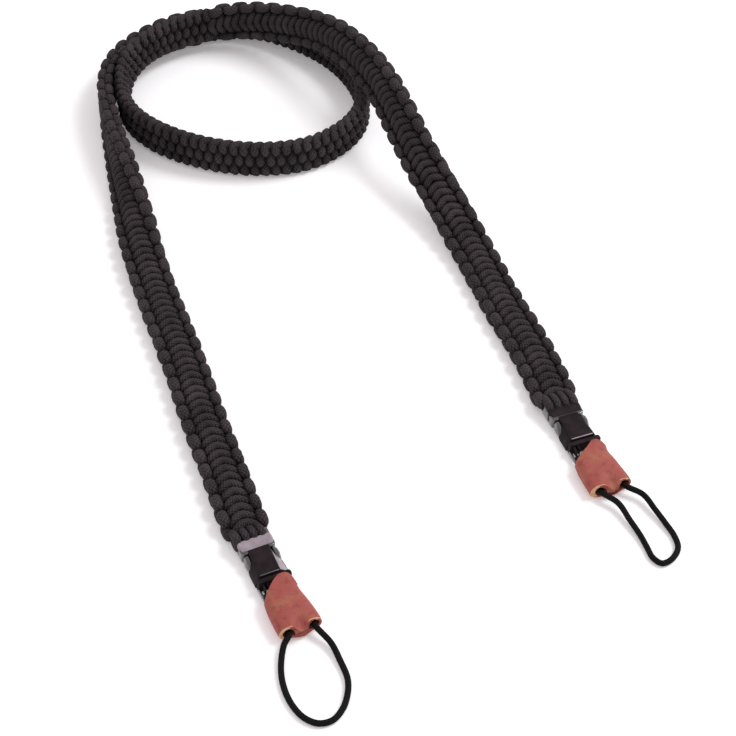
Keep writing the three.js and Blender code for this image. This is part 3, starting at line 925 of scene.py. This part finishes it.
def moulded_material(name, grain, cells, depth, dark, light, rough, gloss):
    """Moulded plastic: blotches between two tones and between the two roughness values in rough."""
    material, tree, shader = new_material(name)
    surface = place_group(tree, grain, {"Cells": cells, "Spots": 260.0})
    tone = stretched(tree, surface["Blotches"], 0.35, 0.7)
    tree.links.new(mixed_colour(tree, tone, dark, light), shader.inputs["Base Color"])
    spread = tree.nodes.new("ShaderNodeMapRange")
    spread.inputs["To Min"].default_value = rough[0]
    spread.inputs["To Max"].default_value = rough[1]
    tree.links.new(surface["Blotches"], spread.inputs["Value"])
    tree.links.new(spread.outputs["Result"], shader.inputs["Roughness"])
    add_bump(tree, shader, surface["Height"], 0.5, depth)
    shader.inputs["Specular IOR Level"].default_value = gloss
    shader.inputs["Coat Weight"].default_value = max(0.0, 2.0 * gloss - 0.9)
    shader.inputs["Coat Roughness"].default_value = 0.15
    return material


def leather_material(name, grain, base, tan, deep):
    """Smooth dyed leather: fine pores, large soft blotches of tan, and smaller ones of darker dye."""
    material, tree, shader = new_material(name)
    surface = place_group(tree, grain, {"Cells": 1500.0, "Spots": 420.0, "Softness": 1.2})
    clouds = stretched(tree, noise_node(tree, 150.0, 2.5, roughness=0.45), 0.48, 0.72)
    tinted = mixed_colour(tree, clouds, base, tan)
    darker = math_node(tree, "MULTIPLY", stretched(tree, surface["Blotches"], 0.52, 0.78), 0.6)
    tree.links.new(mixed_colour(tree, darker, tinted, deep), shader.inputs["Base Color"])
    add_bump(tree, shader, surface["Height"], 0.45, 0.00025)
    shader.inputs["Roughness"].default_value = 0.58
    shader.inputs["Specular IOR Level"].default_value = 0.25
    return material


set_camera()
BRAID = sheath_braid_group()
GRAIN = grain_group()
STRAP_CORD = braided_cord_material(
    "strap_cord", BRAID, strands=16.0, length=1.35,
    dark=(0.0035, 0.0028, 0.0031), light=(0.068, 0.055, 0.061), depth=0.0003, sheen=0.02)
LOOP_CORD = braided_cord_material(
    "loop_cord", BRAID, strands=12.0, length=1.0,
    dark=(0.002, 0.002, 0.002), light=(0.009, 0.0082, 0.0086), depth=0.0002, sheen=0.0)
GLOSSY_PLASTIC = moulded_material(
    "glossy_plastic", GRAIN, cells=700.0, depth=0.00003,
    dark=(0.010, 0.009, 0.010), light=(0.02, 0.018, 0.019), rough=(0.16, 0.3), gloss=0.95)
GRAINED_PLASTIC = moulded_material(
    "grained_plastic", GRAIN, cells=2600.0, depth=0.0001,
    dark=(0.008, 0.005, 0.006), light=(0.022, 0.0125, 0.0155), rough=(0.5, 0.7), gloss=0.12)
# A painted highlight: pale plastic for the light caught on a buckle's shoulder and its mouth line.
PAINTED_HIGHLIGHT_PLASTIC = moulded_material(
    "painted_highlight_plastic", GRAIN, cells=700.0, depth=0.00003,
    dark=(0.24, 0.195, 0.215), light=(0.36, 0.30, 0.33), rough=(0.25, 0.4), gloss=0.45)
LEATHER_FACE = leather_material(
    "leather_face", GRAIN, base=(0.33, 0.076, 0.062), tan=(0.36, 0.125, 0.075), deep=(0.17, 0.028, 0.022))
LEATHER_EDGE = leather_material(
    "leather_raw_edge", GRAIN, base=(0.60, 0.34, 0.18), tan=(0.74, 0.50, 0.30), deep=(0.25, 0.10, 0.05))


def place_piece(obj, node):
    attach(obj, "root")
    if node:
        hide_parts(node)
    return obj


for side, end in ENDS.items():
    inside = [end_place(end, LEATHER_END - 6.0, v, TUNNEL_LIFT) for v in (-TUNNEL_OFFSET, TUNNEL_OFFSET)]
    mouth = [end_place(end, LEATHER_END + 0.4, v, TUNNEL_LIFT) for v in (-TUNNEL_OFFSET, TUNNEL_OFFSET)]
    middle = [(p["x"], p["y"], p["z"]) for p in end["loop"][1:-1]]
    line = smooth_line([inside[0], mouth[0], *middle, mouth[1], inside[1]], 0.7)
    loop = cord_object(f"{side}_cord_loop", [line], LOOP_CORD, 14, radius=LOOP_DIAMETER / 2)
    place_piece(loop, f"{side}_loop")

# Pale plastic is a painted highlight: it stands for the light on the left buckle's shoulder and along the
# right buckle's mouth.
SHOULDER_AND_RIM = {"left": [PAINTED_HIGHLIGHT_PLASTIC, GLOSSY_PLASTIC], "right": [GRAINED_PLASTIC, PAINTED_HIGHLIGHT_PLASTIC]}
SHELL = [GLOSSY_PLASTIC, GRAINED_PLASTIC]
for side, end in ENDS.items():
    socket = buckle_socket(f"{side}_socket_shell", end, SHELL + SHOULDER_AND_RIM[side])
    place_piece(socket, f"{side}_socket")
    place_piece(buckle_plug(f"{side}_plug_body", end, SHELL), f"{side}_plug")
    leather = leather_tab(f"{side}_leather_tab", end, [LEATHER_FACE, LEATHER_EDGE])
    place_piece(leather, f"{side}_leather")

# The arches of both strands bow away from their own buckle. The left strand runs away from its buckle and the
# right one towards its own, so their bows have opposite signs.
for name, start, end, turn, bow in (("left_strand", -0.6, LEFT_STRAND_END, 0, 2.4),
                                    ("right_strand", NECK_END, BAND_LENGTH - 0.6, 1, -2.4)):
    lines = [on_band(smooth_line(line, 0.9)) for line in knot_cords(start + 0.5, end - 0.5, turn, bow)]
    place_piece(cord_object(f"{name}_knots", lines, STRAP_CORD, 12), name)
    core = straight_core(start + 0.3, end - 0.3, (-2.1, 2.1))
    place_piece(cord_object(f"{name}_core", core, STRAP_CORD, 10, radius=2.0), None)

for side in ("right", "left"):
    place_piece(cord_object(f"{side}_hitch", hitch_cords(ENDS[side]), STRAP_CORD, 14), None)

weave = on_band(smooth_line(weave_cord(LEFT_STRAND_END - 1.0, NECK_END + 1.0), 1.0))
place_piece(cord_object("neck_weave", [weave], STRAP_CORD, 12), "neck_band")
neck_core = straight_core(LEFT_STRAND_END, NECK_END, (-5.9, 0.0, 5.9))
place_piece(cord_object("neck_core", neck_core, STRAP_CORD, 10, radius=1.6), None)


def floor_material():
    material, _, shader = new_material("pale_table")
    shader.inputs["Base Color"].default_value = (0.93, 0.93, 0.935, 1.0)
    shader.inputs["Emission Color"].default_value = (1.0, 0.96, 0.975, 1.0)
    shader.inputs["Emission Strength"].default_value = 0.2
    shader.inputs["Roughness"].default_value = 0.9
    shader.inputs["Specular IOR Level"].default_value = 0.1
    return material


def area_light(name, place, aim, size, power, colour):
    data = bpy.data.lights.new(name, "AREA")
    data.shape = "DISK"
    data.size = size
    data.energy = power
    data.color = colour
    light = bpy.data.objects.new(name, data)
    light.location = place
    light.rotation_euler = (Vector(aim) - Vector(place)).to_track_quat("-Z", "Y").to_euler()
    bpy.context.scene.collection.objects.link(light)


corners = [(x * TABLE_HALF, y * TABLE_HALF, 0.0) for x, y in ((-1, -1), (1, -1), (1, 1), (-1, 1))]
table = make_object("table_top", corners, [(0, 1, 2, 3)], floor_material())

world = bpy.data.worlds.new("studio")
bpy.context.scene.world = world
world.use_nodes = True
background = world.node_tree.nodes["Background"]
background.inputs["Color"].default_value = (1.0, 0.955, 0.97, 1.0)
background.inputs["Strength"].default_value = 0.78
area_light("window", place=(1.3, 0.5, 1.7), aim=(0.0, 0.0, 0.0), size=1.0, power=27.0,
           colour=(0.97, 1.0, 1.0))

# The default view transform greys a white table and washes the cord out.
bpy.context.scene.view_settings.view_transform = "Standard"
